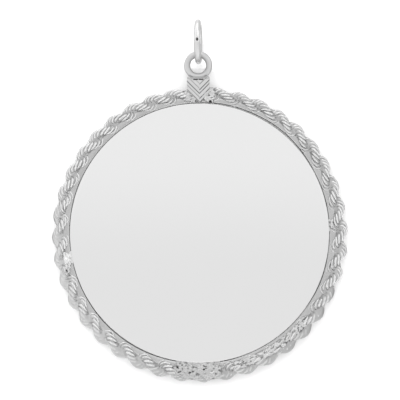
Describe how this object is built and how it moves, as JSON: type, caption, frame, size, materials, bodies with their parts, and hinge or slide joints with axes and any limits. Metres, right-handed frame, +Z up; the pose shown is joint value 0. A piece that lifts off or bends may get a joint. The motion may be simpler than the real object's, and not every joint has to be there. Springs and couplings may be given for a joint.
{
  "type": "disc pendant",
  "caption": "Plain polished disc pendant in a twisted rope frame, hanging by a chevron lug and eye from a jump ring.",
  "frame": {"origin": "inside top of the jump ring, where a chain carries the pendant", "axes": "+Z up along the hanging pendant, -Y out of the disc's front face, +X to the right as seen from the front"},
  "size_m": [0.034, 0.0052, 0.0418],
  "materials": {
    "ring_metal": "polished, rhodium plated silver",
    "lug_metal": "polished, rhodium plated silver with cut ribs",
    "rope_metal": "polished, rhodium plated silver wire",
    "disc_metal": "high polish, rhodium plated silver"
  },
  "bodies": {
    "ring": {"jump_ring": "ring_metal"},
    "pendant": {"bail_lug": "lug_metal", "rope_frame": "rope_metal", "disc": "disc_metal"}
  },
  "joints": [
    {"name": "swing", "type": "hinge", "parent": "ring", "child": "pendant", "pos_m": [0, 0, -0.00412], "axis": [0, 1, 0], "range_deg": [-90, 90]}
  ]
}
